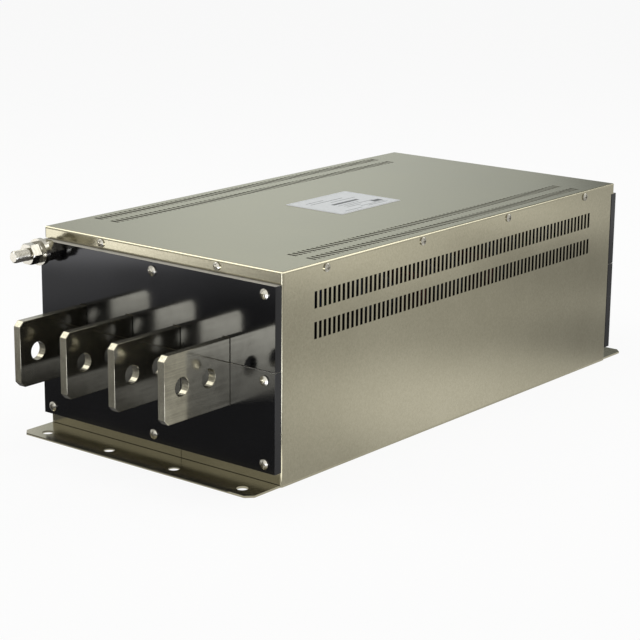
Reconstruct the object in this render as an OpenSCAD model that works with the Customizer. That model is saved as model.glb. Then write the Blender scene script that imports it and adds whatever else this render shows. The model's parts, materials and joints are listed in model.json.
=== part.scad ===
// EMI line filter, three phases and neutral, with busbar terminals.
// Millimetres. +Z up, origin on the mounting plane under the middle of the cover.
// The line end faces -Y and the load end +Y; the load end mirrors the line end.

/* [Cover] */
// Width across the lid
cover_w = 300; // [290:1:400]
// Length of the lid, without panels, flanges and bars
cover_l = 564; // [470:1:720]
// Height of the lid's top above the mounting face
cover_h = 200; // [196:1:260]
// Thickness of the lid and wall sheet
sheet_t = 1.5; // [1:0.1:2]
// Inner radius of the bends in the lid and wall sheet
bend_r = 0.8; // [0.5:0.1:2]
// Height of the lip folded down round the lid
lid_lip = 11.4; // [10:0.1:16]
// Clearance between the lid's lip and the walls
lid_gap = 0.2; // [0.1:0.05:0.6]
// Distance of the end walls' seam from the middle of the cover
seam_x = 26; // [20:1:28]
// Width of the open seam between the two wall sheets
seam_gap = 0.6; // [0.2:0.1:1]
// Width of the splice strip behind a seam
splice_w = 24; // [16:1:30]

/* [Base plate] */
// Thickness of the base plate
base_t = 2; // [1.5:0.1:4]
// Clearance between the base plate's folded edge and the side walls
base_gap = 0.1; // [0.05:0.05:0.5]
// Clearance between the end walls' lower edge and the base plate
base_wall_gap = 0.4; // [0.1:0.1:1]
// Height of the base plate's folded edge
base_fold_h = 18; // [12:1:22]
// Distance that a mounting flange reaches beyond the cover
flange_reach = 40; // [30:1:60]
// Chamfer on a flange's corners
flange_chamfer = 6.6; // [2:0.1:12]
// Diameter of the fixing holes
fixing_d = 11; // [6:0.5:12]
// Spacing of the four fixing holes along a flange
fixing_pitch = 83.6; // [60:0.1:90]
// Distance of the fixing holes from the flange's free edge
fixing_edge = 14.5; // [8:0.5:20]

/* [Vents] */
// Width of a vent slot
vent_w = 3.8; // [2:0.1:4]
// Spacing of the vent slots along a row
vent_pitch = 6.76; // [5.5:0.01:9]
// Height of a slot in the side walls
side_vent_h = 16; // [10:0.5:22]
// Height of the lower row's middle
side_vent_z = 137.4; // [125:0.1:145]
// Spacing of the two rows in a side wall
side_vent_row = 28.5; // [24:0.5:30]
// Distance from the end of the lid to the first side slot's middle
side_vent_margin = 48.7; // [30:0.1:80]
// Length of a slot in the lid
top_vent_l = 11; // [6:0.5:16]
// Distance of the outer row in the lid from the side edge
top_vent_edge = 15.5; // [12:0.5:30]
// Spacing of the two rows along each side of the lid
top_vent_row = 22; // [18:0.5:30]
// Distance from the end of the lid to the first lid slot's middle
top_vent_margin = 58.8; // [40:0.1:90]

/* [Busbars] */
// Thickness of a busbar
bar_t = 8; // [5:0.5:12]
// Height of a busbar on edge
bar_h = 63; // [50:1:76]
// Height of the busbars' centre line
bar_z = 101; // [96:0.5:104]
// Spacing of the busbars
bar_pitch = 60.6; // [50:0.1:61]
// Distance that a bar's tip stands out from the insulating panel
bar_reach = 86; // [70:1:120]
// Chamfer on the corners of a bar's tip
bar_chamfer = 4.9; // [1:0.1:8]
// Diameter of the terminal holes
terminal_d = 17.5; // [9:0.5:18]
// Distance of the first terminal hole from the tip
terminal_edge = 22.5; // [18:0.5:30]
// Spacing of the two terminal holes
terminal_pitch = 35; // [25:0.5:40]
// Clearance round a bar in its notches
bar_gap = 0.3; // [0.1:0.05:1]

/* [End panels] */
// Thickness of the insulating panels
panel_t = 9; // [6:0.5:12]
// Height of the panels' lower edge
panel_z0 = 14.2; // [10:0.1:20]
// Gap between the panels' upper edge and the lid's lip
panel_top_gap = 0.5; // [0.3:0.1:3]
// Distance that the panels end short of the side walls' outer faces
panel_side_gap = 0.3; // [0:0.1:3]
// Height of the joint between the lower and the upper panel
panel_seam_z = 109.2; // [104:0.1:120]
// Open joint between the two pieces of a panel
panel_seam_gap = 0.4; // [0.1:0.1:1]
// Distance of the outer panel screws from the inner faces of the side walls
panel_screw_side = 11.1; // [11:0.1:20]
// Distance of the lower panel screws from the panel's lower edge
panel_screw_low = 8.1; // [7:0.1:14]
// Distance of the upper panel screws from the panel's upper edge
panel_screw_high = 8.3; // [7:0.1:14]
// Height of the middle panel screws
panel_screw_mid_z = 100.3; // [80:0.1:102]
// Margin of the opening in the end walls round the busbars
window_margin = 17; // [10:0.5:18]

/* [Screws] */
// Thread diameter of the panel screws
panel_screw_d = 5; // [4:1:6]
// Head diameter of the panel screws
panel_head_d = 9.6; // [8:0.1:11]
// Head height of the panel screws
panel_head_h = 2.7; // [2:0.1:3.5]
// Thread diameter of the lid screws
lid_screw_d = 4; // [3:0.5:5]
// Head diameter of the lid screws
lid_head_d = 8; // [6:0.1:9]
// Head height of the lid screws
lid_head_h = 2.6; // [2:0.1:3]
// Distance of the lid screws below the lid's top
lid_screw_drop = 6.2; // [5.5:0.1:7]
// Distance of the lid screws in the end lips from the middle
lid_screw_end_x = 73; // [50:0.5:110]
// Spacing of the four lid screws in each side lip
lid_screw_pitch = 146.8; // [100:0.1:150]
// Clearance of a thread in its nut or tapped hole, on the diameter
thread_gap = 0.1; // [0.05:0.05:0.3]
// Clearance of a screw in a plain hole, on the diameter
hole_gap = 0.5; // [0.3:0.1:1]

/* [Earth studs] */
// Thread diameter of an earth stud
stud_d = 12; // [8:1:12]
// Distance that a stud's tip stands out from the panel
stud_reach = 47; // [42:1:60]
// Width across the flats of the stud's head and nuts
stud_af = 19; // [13:1:19]
// Height of a stud nut
stud_nut_h = 10.8; // [6:0.1:11]
// Height of the stud's head inside the cover
stud_head_h = 7.5; // [5:0.5:9]
// Diameter of the flat washers
washer_d = 26; // [20:0.5:28]
// Thickness of the flat washers
washer_t = 2.5; // [1.5:0.1:3]
// Diameter of the spring washer
spring_washer_d = 21.1; // [16:0.1:24]
// Thickness of the spring washer
spring_washer_t = 3.3; // [2:0.1:3.5]

/* [Choke cores] */
// Depth of one core along the bars
core_depth = 50; // [30:1:56]
// Thickness of the wound and cased ring
core_build = 28; // [15:1:28]
// Clearance from the bars to the core's window
core_clear = 8; // [4:0.5:8]
// Corner radius of the core's window
core_inner_r = 12; // [6:1:20]
// Thickness of the clamp over a core
clamp_t = 1.5; // [1:0.1:2]
// Width of the clamp over a core
clamp_w = 24; // [14:1:28]
// Length of a clamp's foot
clamp_foot = 10; // [8:0.5:11]
// Width of a bearer block under a core
bearer_w = 30; // [20:1:40]
// Distance of the bearer blocks from the middle
bearer_x = 66; // [50:1:68]

/* [Bar supports] */
// Thickness of a support plate
support_t = 12; // [8:0.5:14]
// Distance of the support plates from the folded edges of the base
support_side_gap = 4; // [1:0.5:8]
// Height of the upper support plate above the bars
support_over = 22; // [14:1:30]
// Leg of the angles under the supports
angle_leg = 20; // [16:1:24]
// Thickness of the angles
angle_t = 3; // [2:0.5:4]
// Length of an angle
angle_l = 26; // [20:1:30]
// Distance of the angles and joining straps from the middle
angle_x = 115; // [112:1:116]
// Width of a joining strap
strap_w = 18; // [12:1:22]
// Length of a joining strap
strap_l = 56; // [40:1:60]
// Thickness of a joining strap
strap_t = 2; // [1:0.5:3]

/* [Capacitor boards] */
// Thickness of a capacitor board
board_t = 1.6; // [1.2:0.2:2.4]
// Depth of a board along the bars
board_depth = 105; // [90:1:106]
// Distance of a board from the side walls
board_side_gap = 8; // [4:0.5:14]
// Distance of a board from the end wall
board_end_gap = 13; // [10:0.5:20]
// Height of the spacers between the bars and a board
spacer_h = 12; // [8:0.5:16]
// Width across the flats of a spacer
spacer_af = 8; // [7:0.5:8]
// Distance of the spacers from the board's edges
spacer_edge = 14; // [10:0.5:20]
// Length of a line capacitor
x_cap_l = 42; // [30:0.5:46]
// Width of a line capacitor
x_cap_w = 33; // [20:0.5:35]
// Height of a line capacitor
x_cap_h = 40; // [20:0.5:42]
// Spacing of the two rows of line capacitors
x_cap_row = 38; // [37:0.5:44]
// Length of an earth capacitor
y_cap_l = 18; // [12:0.5:20]
// Width of an earth capacitor
y_cap_w = 9; // [6:0.5:12]
// Height of an earth capacitor
y_cap_h = 16; // [10:0.5:22]
// Distance of the earth capacitors from the middle
y_cap_x = 114; // [112:0.5:116]
// Diameter of a bleed resistor's body
resistor_d = 5; // [3:0.5:7]
// Length of a bleed resistor's body
resistor_l = 16; // [10:0.5:20]
// Diameter of the components' leads
lead_d = 1; // [0.6:0.1:1.2]

/* [Earth straps and label] */
// Width of an earth strap inside the cover
bond_w = 18; // [16:1:20]
// Thickness of an earth strap
bond_t = 1.5; // [1:0.1:2]
// Length of an earth strap's foot on the board
bond_foot = 32; // [28:1:40]
// Distance of the bond screw from the board's end
bond_screw_in = 9; // [7:0.5:12]
// Label size across the cover
label_w = 74; // [40:1:120]
// Label size along the cover
label_l = 99; // [40:1:150]
// Label position across the cover
label_x = -4; // [-20:1:20]
// Thickness of the label
label_t = 0.2; // [0.1:0.05:0.5]

/* [Hidden] */
$fn = 48;
eps = 1;

// Walls: the lid drops over them, the base plate's folded edges stand inside.
wall_x = cover_w / 2 - sheet_t - lid_gap;
wall_y = cover_l / 2 - sheet_t - lid_gap;
wall_xi = wall_x - sheet_t;
wall_yi = wall_y - sheet_t;
wall_top = cover_h - sheet_t - bend_r;
lip_z = cover_h - lid_lip;
base_x = wall_xi - base_gap;
base_y = cover_l / 2 + flange_reach;
base_xi = base_x - base_t;
base_fold_y = wall_yi - 2 * base_t;
fixing_y = base_y - fixing_edge;

// Vents: the number of slots follows the length of the cover.
side_vent_n = floor((cover_l - 2 * side_vent_margin) / vent_pitch + 0.5) + 1;
top_vent_n = floor((cover_l - 2 * top_vent_margin) / vent_pitch + 0.5) + 1;
top_vent_x = [cover_w / 2 - top_vent_edge, cover_w / 2 - top_vent_edge - top_vent_row];

// Panels stand on the outer faces of the end walls.
panel_x = wall_x - panel_side_gap;
panel_z1 = lip_z - panel_top_gap;
panel_face_y = wall_y + panel_t;
panel_screw_x = wall_xi - panel_screw_side;
panel_screw_z0 = panel_z0 + panel_screw_low;
panel_screw_z1 = panel_z1 - panel_screw_high;
panel_screw_places = [
    [0, panel_screw_z0],
    [0, panel_screw_z1],
    [panel_screw_x, panel_screw_z0],
    [panel_screw_x, panel_screw_mid_z],
    [panel_screw_x, panel_screw_z1],
    [-panel_screw_x, panel_screw_z0],
    [-panel_screw_x, panel_screw_mid_z]
];
panel_nut_h = 4;
panel_nut_d = panel_screw_d * 1.8;
lid_nut_h = 3.2;
lid_nut_d = lid_screw_d * 1.8;
lid_screw_z = cover_h - lid_screw_drop;

// Busbars
bar_x = [for (i = [0:3]) (i - 1.5) * bar_pitch];
bar_y = panel_face_y + bar_reach;
bar_z0 = bar_z - bar_h / 2;
bar_z1 = bar_z + bar_h / 2;
window_x = 1.5 * bar_pitch + bar_t / 2 + window_margin;
window_z0 = bar_z0 - window_margin;
window_z1 = bar_z1 + window_margin;

// Earth studs: panel corner, stack of nut, two washers, spring washer and nut.
stud_x = -panel_screw_x;
stud_z = panel_screw_z1;
stud_tip_y = panel_face_y + stud_reach;
stud_root_y = wall_yi - bond_t;
base_nut_y = panel_face_y;
washer_1_y = base_nut_y + stud_nut_h;
washer_2_y = washer_1_y + washer_t;
spring_y = washer_2_y + washer_t;
outer_nut_y = spring_y + spring_washer_t;
stud_chamfer = 1.5;

// Boards stand on spacers screwed into the upper edges of the bars.
board_x = wall_xi - board_side_gap;
board_z = bar_z1 + spacer_h;
board_top = board_z + board_t;
board_y1 = wall_yi - board_end_gap;
board_y0 = board_y1 - board_depth;
board_mid_y = (board_y0 + board_y1) / 2;
spacer_y = [board_y0 + spacer_edge, board_y1 - spacer_edge];
spacer_root = 8;
board_screw_d = 4;
board_screw_l = 8;
board_head_d = 8;
board_head_h = 2.6;
bond_screw_x = stud_x + 7;
bond_screw_y = board_y1 - bond_screw_in;
bond_nut_h = 3.2;
resistor_y = board_y1 - spacer_edge + 6;
resistor_rise = resistor_d / 2 + 1;

// Cores and supports share the free length between the boards evenly.
core_n = 3;
free_l = 2 * board_y0 - core_n * core_depth - (core_n - 1) * support_t;
free_gap = free_l / (2 * core_n);
core_pitch = core_depth + support_t + 2 * free_gap;
core_wx = 1.5 * bar_pitch + bar_t / 2 + core_clear;
core_wz = bar_h / 2 + core_clear;
core_ox = core_wx + core_build;
core_oz = core_wz + core_build;
core_z0 = bar_z - core_oz;
core_outer_r = core_inner_r + core_build;
support_x = base_xi - support_side_gap;
support_top = bar_z1 + support_over;
support_screw_d = 5;
support_screw_l = support_t + angle_t;
angle_screw_z = base_t + angle_leg * 0.6;
strap_screw_z = [panel_seam_z - strap_l / 3.2, panel_seam_z + strap_l / 3.2];

// ---- 2D helpers ---------------------------------------------------------

// Rectangle centred on the origin with rounded corners.
module rounded_rect(w, h, r) {
    union() {
        square([w - 2 * r, h], center = true);
        square([w, h - 2 * r], center = true);
        for (sx = [-1, 1], sy = [-1, 1])
            translate([sx * (w / 2 - r), sy * (h / 2 - r)]) circle(r = r);
    }
}

// Bent-sheet angle with its outer corner on the origin and legs along +X and +Y.
module angle_section(leg_x, leg_y, t, r) {
    ro = r + t;
    difference() {
        union() {
            translate([ro, 0]) square([leg_x - ro, t]);
            translate([0, ro]) square([t, leg_y - ro]);
            intersection() {
                square(ro);
                translate([ro, ro]) circle(r = ro);
            }
        }
        translate([ro, ro]) circle(r = r);
    }
}

// Row of n squares along +Y, centred on the origin.
module slot_row(n, pitch, size_x, size_y) {
    for (i = [0:n - 1])
        translate([-size_x / 2, (i - (n - 1) / 2) * pitch - size_y / 2]) square([size_x, size_y]);
}

// ---- placing helpers ----------------------------------------------------

// Local +Z points out of the line end wall.
module facing_front(x, y, z) {
    translate([x, -y, z]) rotate([90, 0, 0]) children();
}

// The load end is the line end seen in a mirror.
module at_rear() {
    mirror([0, 1, 0]) children();
}

module both_ends() {
    children();
    at_rear() children();
}

// ---- fasteners ----------------------------------------------------------

// Pan head screw: the head stands on z = 0, the shank points to -Z.
module pan_screw(d, head_d, head_h, length) {
    recess_w = head_d * 0.13;
    recess_l = head_d * 0.56;
    recess_h = head_h * 0.6;
    edge = head_h * 0.42;
    crown_r = (pow(head_d / 2, 2) + pow(head_h - edge, 2)) / (2 * (head_h - edge));
    difference() {
        union() {
            rotate_extrude() intersection() {
                square([head_d / 2, head_h]);
                translate([0, head_h - crown_r]) circle(r = crown_r);
            }
            translate([0, 0, -length]) cylinder(d = d, h = length + edge);
        }
        for (a = [0, 90])
            rotate([0, 0, a]) translate([-recess_l / 2, -recess_w / 2, head_h - recess_h])
                cube([recess_l, recess_w, recess_h + eps]);
    }
}

// Hexagon nut on z = 0 with its corners turned off at both faces.
module hex_nut(af, h, bore) {
    across = af / cos(30);
    corner = (across - af) / 2;
    difference() {
        intersection() {
            cylinder(d = across, h = h, $fn = 6);
            rotate_extrude() polygon([
                [0, 0],
                [af / 2, 0],
                [across / 2, corner * 0.6],
                [across / 2, h - corner * 0.6],
                [af / 2, h],
                [0, h]
            ]);
        }
        translate([0, 0, -eps]) cylinder(d = bore, h = h + 2 * eps);
    }
}

// Round clinch nut behind a sheet, from z = 0 to -h.
module clinch_nut(d, h, bore) {
    translate([0, 0, -h]) difference() {
        union() {
            cylinder(d = d, h = h);
            translate([0, 0, h - 1]) cylinder(d = d + 1, h = 1);
        }
        translate([0, 0, -eps]) cylinder(d = bore, h = h + 2 * eps);
    }
}

// Places of the twelve lid screws; local +Z points out of the cover at face.
module lid_screw_places(face_x, face_y) {
    for (x = [-lid_screw_end_x, lid_screw_end_x]) {
        translate([x, -face_y, lid_screw_z]) rotate([90, 0, 0]) children();
        translate([x, face_y, lid_screw_z]) rotate([-90, 0, 0]) children();
    }
    for (i = [0:3]) {
        y = (i - 1.5) * lid_screw_pitch;
        translate([face_x, y, lid_screw_z]) rotate([0, 90, 0]) children();
        translate([-face_x, y, lid_screw_z]) rotate([0, -90, 0]) children();
    }
}

// ---- cover --------------------------------------------------------------

// Mounting plate with two drilled flanges and edges folded up inside the walls.
module base_plate() {
    fold_ro = bend_r + base_t;
    color([0.62, 0.61, 0.56]) difference() {
        union() {
            linear_extrude(base_t) difference() {
                polygon([
                    [-base_x + flange_chamfer, -base_y],
                    [base_x - flange_chamfer, -base_y],
                    [base_x, -base_y + flange_chamfer],
                    [base_x, base_y - flange_chamfer],
                    [base_x - flange_chamfer, base_y],
                    [-base_x + flange_chamfer, base_y],
                    [-base_x, base_y - flange_chamfer],
                    [-base_x, -base_y + flange_chamfer]
                ]);
                for (s = [-1, 1])
                    translate([s * (base_x - fold_ro / 2 + eps / 2), 0])
                        square([fold_ro + eps, 2 * base_fold_y + 2 * base_t], center = true);
                for (x = [-1.5:1:1.5], y = [-fixing_y, fixing_y])
                    translate([x * fixing_pitch, y]) circle(d = fixing_d);
            }
            for (s = [0, 1]) mirror([s, 0, 0])
                translate([base_x, base_fold_y, 0]) rotate([90, 0, 0]) linear_extrude(2 * base_fold_y)
                    mirror([1, 0]) angle_section(fold_ro + 0.5, base_fold_h, base_t, bend_r);
        }
    }
}

// One C-shaped wall sheet: a vented side, a short tab in front and a long tab behind.
module wall_sheet() {
    difference() {
        linear_extrude(wall_top) intersection() {
            difference() {
                rounded_rect(2 * wall_x, 2 * wall_y, bend_r + sheet_t);
                rounded_rect(2 * wall_xi, 2 * wall_yi, bend_r);
            }
            polygon([
                [seam_x + seam_gap / 2, -cover_l],
                [cover_w, -cover_l],
                [cover_w, cover_l],
                [-seam_x + seam_gap / 2, cover_l],
                [-seam_x + seam_gap / 2, 0],
                [seam_x + seam_gap / 2, 0]
            ]);
        }
        // the base plate runs out under both tabs
        translate([-wall_xi, -cover_l, -eps]) cube([2 * wall_xi, 2 * cover_l, base_t + base_wall_gap + eps]);
        // two rows of slots in the side
        for (row = [0, 1])
            translate([wall_xi - eps, 0, side_vent_z + row * side_vent_row]) rotate([90, 0, 90])
                linear_extrude(sheet_t + 2 * eps) rotate(90)
                    slot_row(side_vent_n, vent_pitch, side_vent_h, vent_w);
        // opening round the bars
        translate([-window_x, -cover_l, window_z0])
            cube([2 * window_x, 2 * cover_l, window_z1 - window_z0]);
        panel_holes();
        lid_screw_places(wall_x, wall_y)
            translate([0, 0, -2 * sheet_t]) cylinder(d = lid_screw_d + hole_gap, h = 4 * sheet_t);
    }
}

// Through holes for the panel screws in the end walls and panels.
module panel_holes() {
    both_ends() for (p = panel_screw_places) facing_front(p[0], wall_yi - eps, p[1])
        cylinder(d = panel_screw_d + hole_gap, h = sheet_t + panel_t + 2 * eps);
}

// Through holes for the earth studs.
module stud_holes() {
    both_ends() facing_front(stud_x, wall_yi - eps, stud_z)
        cylinder(d = stud_d + hole_gap, h = sheet_t + panel_t + 2 * eps);
}

module wrap_right() {
    color([0.60, 0.58, 0.52]) wall_sheet();
}

module wrap_left() {
    color([0.60, 0.58, 0.52]) difference() {
        rotate([0, 0, 180]) wall_sheet();
        stud_holes();
    }
}

// Splice strips behind the seams, above and below the openings.
module seam_strips() {
    low = window_z0 - 6 - base_t;
    high_z = window_z1 + 6;
    high = wall_top - 8 - high_z;
    color([0.55, 0.54, 0.50]) for (turn = [0, 180]) rotate([0, 0, turn]) {
        translate([seam_x - splice_w / 2, -wall_yi, base_t]) cube([splice_w, sheet_t, low]);
        translate([seam_x - splice_w / 2, -wall_yi, high_z]) cube([splice_w, sheet_t, high]);
    }
}

// Box with rounded upright and top edges, open below when hollowed.
module rounded_lid_body(x, y, h, r) {
    intersection() {
        linear_extrude(h) rounded_rect(2 * x, 2 * y, r);
        translate([0, y + eps, 0]) rotate([90, 0, 0]) linear_extrude(2 * y + 2 * eps)
            translate([0, h / 2 - r]) rounded_rect(2 * x, h + 2 * r, r);
        translate([-x - eps, 0, 0]) rotate([90, 0, 90]) linear_extrude(2 * x + 2 * eps)
            translate([0, h / 2 - r]) rounded_rect(2 * y, h + 2 * r, r);
    }
}

// Folded lid with slotted rows and a lip on all four sides.
module lid() {
    color([0.66, 0.67, 0.60]) difference() {
        translate([0, 0, lip_z])
            rounded_lid_body(cover_w / 2, cover_l / 2, lid_lip, bend_r + sheet_t);
        translate([0, 0, lip_z - eps]) rounded_lid_body(
            cover_w / 2 - sheet_t, cover_l / 2 - sheet_t, lid_lip - sheet_t + eps, bend_r);
        translate([0, 0, cover_h - sheet_t - eps]) linear_extrude(sheet_t + 2 * eps)
            for (x = top_vent_x, s = [-1, 1])
                translate([s * x, 0]) slot_row(top_vent_n, vent_pitch, top_vent_l, vent_w);
        lid_screw_places(cover_w / 2, cover_l / 2)
            translate([0, 0, -2 * sheet_t]) cylinder(d = lid_screw_d + hole_gap, h = 4 * sheet_t);
    }
}

module lid_screws() {
    color("silver") lid_screw_places(cover_w / 2, cover_l / 2)
        pan_screw(lid_screw_d, lid_head_d, lid_head_h, 2 * sheet_t + lid_gap + lid_nut_h);
}

module lid_nuts() {
    color("silver") lid_screw_places(wall_xi, wall_yi)
        clinch_nut(lid_nut_d, lid_nut_h, lid_screw_d + thread_gap);
}

// ---- end panels ---------------------------------------------------------

// Insulating plate between two heights, notched round the bars.
module panel_piece(z0, z1) {
    difference() {
        translate([-panel_x, -panel_face_y, z0]) cube([2 * panel_x, panel_t, z1 - z0]);
        bar_notches(panel_face_y + eps, panel_t + 2 * eps);
        panel_holes();
        stud_holes();
    }
}

// Bar-shaped cuts that start at -y and run depth deep.
module bar_notches(y, depth) {
    for (x = bar_x)
        translate([x - bar_t / 2 - bar_gap, -y, bar_z0 - bar_gap])
            cube([bar_t + 2 * bar_gap, depth, bar_h + 2 * bar_gap]);
}

module front_panel_lower() {
    color([0.05, 0.05, 0.06]) panel_piece(panel_z0, panel_seam_z - panel_seam_gap / 2);
}

module front_panel_upper() {
    color([0.05, 0.05, 0.06]) panel_piece(panel_seam_z + panel_seam_gap / 2, panel_z1);
}

module rear_panel_lower() {
    at_rear() front_panel_lower();
}

module rear_panel_upper() {
    at_rear() front_panel_upper();
}

module panel_screws_front() {
    color("silver") for (p = panel_screw_places) facing_front(p[0], panel_face_y, p[1])
        pan_screw(panel_screw_d, panel_head_d, panel_head_h, panel_t + sheet_t + panel_nut_h);
}

module panel_screws_rear() {
    at_rear() panel_screws_front();
}

module panel_nuts() {
    color("silver") both_ends() for (p = panel_screw_places) facing_front(p[0], wall_yi, p[1])
        clinch_nut(panel_nut_d, panel_nut_h, panel_screw_d + thread_gap);
}

// ---- busbars ------------------------------------------------------------

// Straight bar on edge from terminal to terminal, drilled at both ends.
module busbar(x) {
    c = bar_chamfer;
    color([0.72, 0.70, 0.66]) difference() {
        translate([x - bar_t / 2, 0, 0]) rotate([90, 0, 90]) linear_extrude(bar_t) difference() {
            polygon([
                [-bar_y, bar_z0 + c],
                [-bar_y + c, bar_z0],
                [bar_y - c, bar_z0],
                [bar_y, bar_z0 + c],
                [bar_y, bar_z1 - c],
                [bar_y - c, bar_z1],
                [-bar_y + c, bar_z1],
                [-bar_y, bar_z1 - c]
            ]);
            for (s = [-1, 1], i = [0, 1])
                translate([s * (bar_y - terminal_edge - i * terminal_pitch), bar_z])
                    circle(d = terminal_d);
        }
        // tapped holes for the board spacers
        both_ends() for (y = spacer_y) translate([x, -y, bar_z1 - spacer_root])
            cylinder(d = board_screw_d + 1 + thread_gap, h = spacer_root + eps);
    }
}

module busbar_l1() {
    busbar(bar_x[0]);
}

module busbar_l2() {
    busbar(bar_x[1]);
}

module busbar_l3() {
    busbar(bar_x[2]);
}

module busbar_n() {
    busbar(bar_x[3]);
}

// ---- earth studs --------------------------------------------------------

// Hexagon-head stud, put in from inside the cover.
module earth_stud_front() {
    length = stud_tip_y - stud_root_y;
    color([0.78, 0.76, 0.70]) facing_front(stud_x, stud_root_y, stud_z) {
        translate([0, 0, -stud_head_h]) hex_head(stud_af, stud_head_h);
        rotate_extrude() polygon([
            [0, -eps],
            [stud_d / 2, -eps],
            [stud_d / 2, length - stud_chamfer],
            [stud_d / 2 - stud_chamfer, length],
            [0, length]
        ]);
    }
}

// Hexagon bolt head from z = 0 to h, corners turned off on the outer face.
module hex_head(af, h) {
    across = af / cos(30);
    intersection() {
        cylinder(d = across, h = h, $fn = 6);
        rotate_extrude() polygon([
            [0, 0],
            [af / 2, 0],
            [across / 2, (across - af) * 0.3],
            [across / 2, h],
            [0, h]
        ]);
    }
}

module earth_stud_rear() {
    at_rear() earth_stud_front();
}

module stud_nuts() {
    color([0.80, 0.79, 0.74]) both_ends() for (y = [base_nut_y, outer_nut_y])
        facing_front(stud_x, y, stud_z) hex_nut(stud_af, stud_nut_h, stud_d + thread_gap);
}

module ring(od, id, h) {
    difference() {
        cylinder(d = od, h = h);
        translate([0, 0, -eps]) cylinder(d = id, h = h + 2 * eps);
    }
}

module stud_washer_pair(y) {
    color([0.80, 0.79, 0.74]) both_ends() facing_front(stud_x, y, stud_z)
        ring(washer_d, stud_d + hole_gap, washer_t);
}

module stud_inner_washers() {
    stud_washer_pair(washer_1_y);
}

module stud_outer_washers() {
    stud_washer_pair(washer_2_y);
}

// Split ring with a slanted cut.
module stud_spring_washers() {
    color([0.74, 0.73, 0.68]) both_ends() facing_front(stud_x, spring_y, stud_z) difference() {
        ring(spring_washer_d, stud_d + hole_gap, spring_washer_t);
        translate([spring_washer_d / 2, 0, spring_washer_t / 2]) rotate([25, 0, 0])
            cube([spring_washer_d, 1.2, 3 * spring_washer_t], center = true);
    }
}

// Folded strip from under the stud's head to the corner of the capacitor board.
module earth_strap_front() {
    drop = stud_z + bond_w / 2 - board_top;
    color([0.72, 0.45, 0.28]) difference() {
        translate([stud_x - bond_w / 2, -wall_yi, board_top]) rotate([90, 0, 90]) linear_extrude(bond_w)
            angle_section(bond_foot, drop, bond_t, bend_r);
        facing_front(stud_x, wall_yi - bond_t - eps, stud_z)
            cylinder(d = stud_d + hole_gap, h = bond_t + 2 * eps);
        translate([bond_screw_x, -bond_screw_y, board_top - eps])
            cylinder(d = board_screw_d + hole_gap, h = bond_t + 2 * eps);
    }
}

module earth_strap_rear() {
    at_rear() earth_strap_front();
}

module bond_screws() {
    color("silver") both_ends() translate([bond_screw_x, -bond_screw_y, board_top + bond_t])
        pan_screw(board_screw_d, board_head_d, board_head_h, bond_t + board_t + bond_nut_h);
}

module bond_nuts() {
    color("silver") both_ends() translate([bond_screw_x, -bond_screw_y, board_z - bond_nut_h])
        hex_nut(7, bond_nut_h, board_screw_d + thread_gap);
}

// ---- choke cores --------------------------------------------------------

// Cased ring of wound tape round all four bars.
module core(i) {
    y = (i - (core_n - 1) / 2) * core_pitch;
    color([0.20, 0.32, 0.42]) translate([0, y + core_depth / 2, bar_z]) rotate([90, 0, 0])
        linear_extrude(core_depth) difference() {
            rounded_rect(2 * core_ox, 2 * core_oz, core_outer_r);
            rounded_rect(2 * core_wx, 2 * core_wz, core_inner_r);
        }
}

module core_1() {
    core(0);
}

module core_2() {
    core(1);
}

module core_3() {
    core(2);
}

module at_cores() {
    for (i = [0:core_n - 1]) translate([0, (i - (core_n - 1) / 2) * core_pitch, 0]) children();
}

// Blocks that carry the cores above the base plate.
module core_bearers() {
    color([0.76, 0.68, 0.46]) at_cores() for (x = [-bearer_x, bearer_x])
        translate([x - bearer_w / 2, -core_depth / 2, base_t])
            cube([bearer_w, core_depth, core_z0 - base_t]);
}

// Strip folded over a core, with a foot on the base plate at each side.
module core_clamps() {
    ro = bend_r + clamp_t;
    color([0.62, 0.62, 0.60]) at_cores() translate([0, clamp_w / 2, 0]) rotate([90, 0, 0])
        linear_extrude(clamp_w) {
            intersection() {
                translate([0, bar_z]) difference() {
                    rounded_rect(2 * (core_ox + clamp_t), 2 * (core_oz + clamp_t), core_outer_r + clamp_t);
                    rounded_rect(2 * core_ox, 2 * core_oz, core_outer_r);
                }
                translate([-core_ox - 2 * clamp_t, bar_z])
                    square([2 * core_ox + 4 * clamp_t, core_oz + 2 * clamp_t]);
            }
            for (s = [0, 1]) mirror([s, 0])
                translate([core_ox, base_t]) angle_section(clamp_foot, bar_z - base_t, clamp_t, bend_r);
        }
}

// ---- bar supports -------------------------------------------------------

// Notched plate between two heights; the bars lie in the notches.
module support_plate(i, z0, z1) {
    y = (i - 0.5) * core_pitch;
    color([0.62, 0.20, 0.13]) difference() {
        translate([-support_x, y - support_t / 2, z0]) cube([2 * support_x, support_t, z1 - z0]);
        translate([0, y, 0]) bar_notches(support_t / 2 + eps, support_t + 2 * eps);
        translate([0, y, 0]) support_screw_axes()
            cylinder(d = support_screw_d + hole_gap, h = 4 * support_t, center = true);
    }
}

// Local +Z points along -Y; the screws' heads lie on the strap side.
module support_screw_axes() {
    for (s = [-1, 1]) {
        translate([s * angle_x, 0, angle_screw_z]) rotate([90, 0, 0]) children();
        for (z = strap_screw_z) translate([s * angle_x, 0, z]) rotate([90, 0, 0]) children();
    }
}

module bar_support_lower_1() {
    support_plate(0, base_t, panel_seam_z);
}

module bar_support_lower_2() {
    support_plate(1, base_t, panel_seam_z);
}

module bar_support_upper_1() {
    support_plate(0, panel_seam_z, support_top);
}

module bar_support_upper_2() {
    support_plate(1, panel_seam_z, support_top);
}

module at_supports() {
    for (i = [0, 1]) translate([0, (i - 0.5) * core_pitch, 0]) children();
}

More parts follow.
